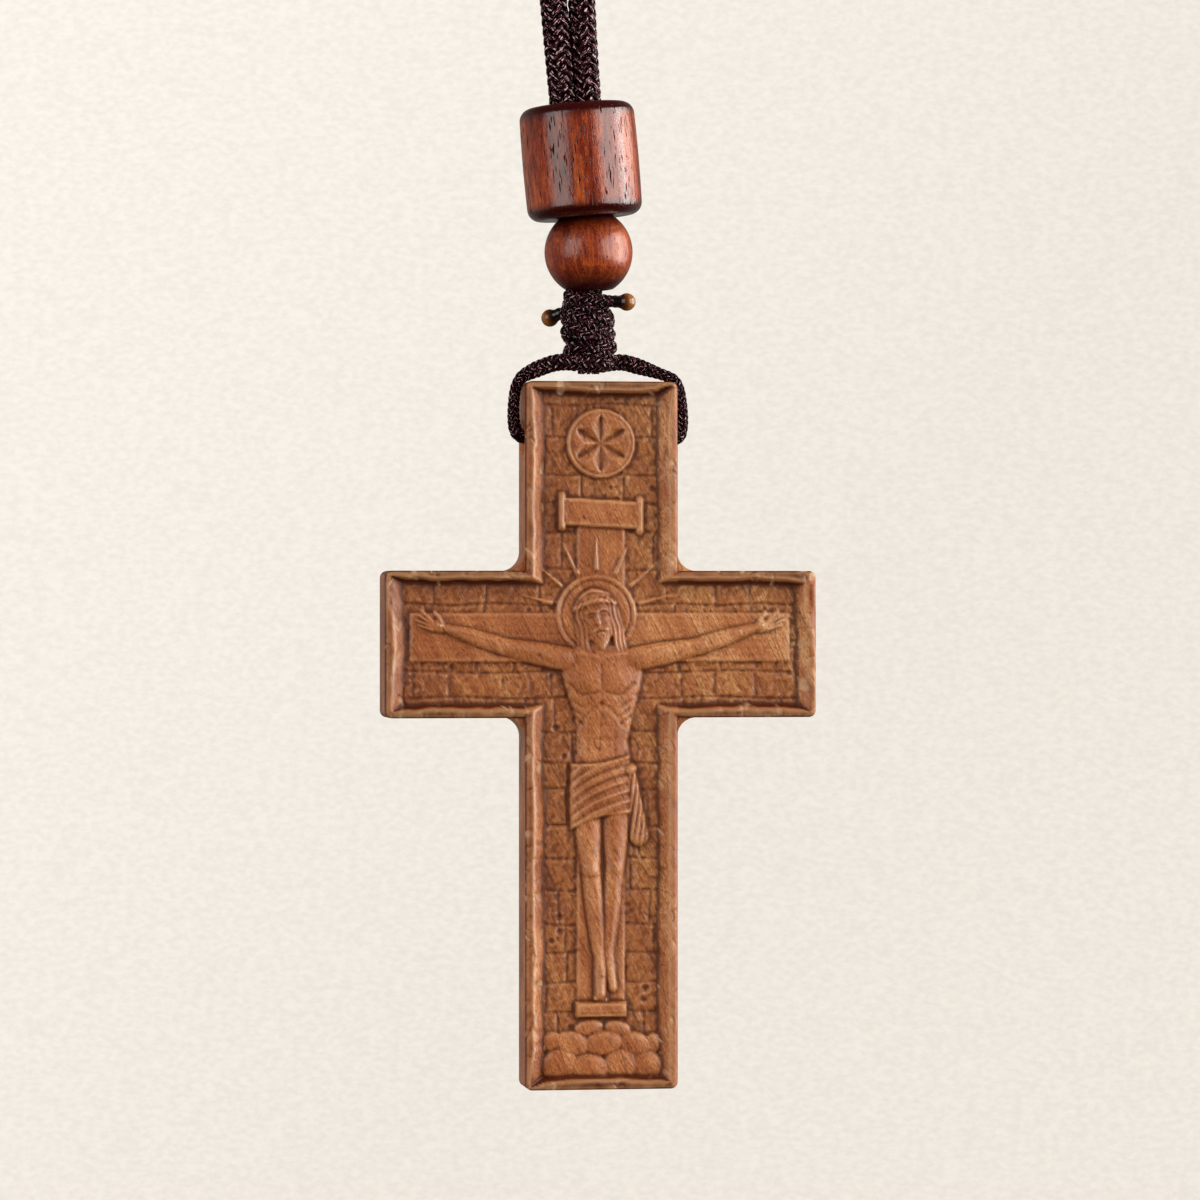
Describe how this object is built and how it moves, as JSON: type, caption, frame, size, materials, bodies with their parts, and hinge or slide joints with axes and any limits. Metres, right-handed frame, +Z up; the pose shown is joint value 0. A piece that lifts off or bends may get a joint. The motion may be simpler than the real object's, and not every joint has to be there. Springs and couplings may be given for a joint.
{
  "type": "hanging crucifix",
  "caption": "Carved wooden crucifix pendant hung on a knotted thin cord below turned wooden beads on a looped braided cord.",
  "frame": {"origin": "where a hook bears on the inside of the hanging loop", "axes": "+Z up as the part hangs, carved front towards -Y, +X to the right seen from the front"},
  "size_m": [0.0492, 0.0132, 0.1621],
  "materials": {
    "carved_wood": "oiled satin, carved",
    "bead_wood": "lacquered gloss",
    "braided_cord": "braided nylon, slight sheen",
    "thin_cord": "braided nylon, slight sheen",
    "melted_nylon": "melted and set, glossy"
  },
  "bodies": {
    "cord": {"hanging_cord": "braided_cord", "cord_core": "braided_cord", "bail_cord": "thin_cord", "winding_left": "thin_cord", "winding_right": "thin_cord", "melted_end_left": "melted_nylon", "melted_end_right": "melted_nylon"},
    "cross": {"cross_body": "carved_wood"},
    "round_bead": {"round_bead": "bead_wood"},
    "barrel_bead": {"barrel_bead": "bead_wood"}
  },
  "joints": [
    {"name": "cross_swing", "type": "hinge", "parent": "cord", "child": "cross", "pos_m": [0.00672, 0, -0.0854], "axis": [1, 0, 0], "range_deg": [-90, 90]},
    {"name": "barrel_slide", "type": "slide", "parent": "cord", "child": "barrel_bead", "axis": [-0.0872, 0, 0.9962], "range_m": [0, 0.01]},
    {"name": "bead_spin", "type": "hinge", "parent": "cord", "child": "round_bead", "pos_m": [0.00562, 0, -0.06425], "axis": [-0.0872, 0, 0.9962], "continuous": true}
  ]
}
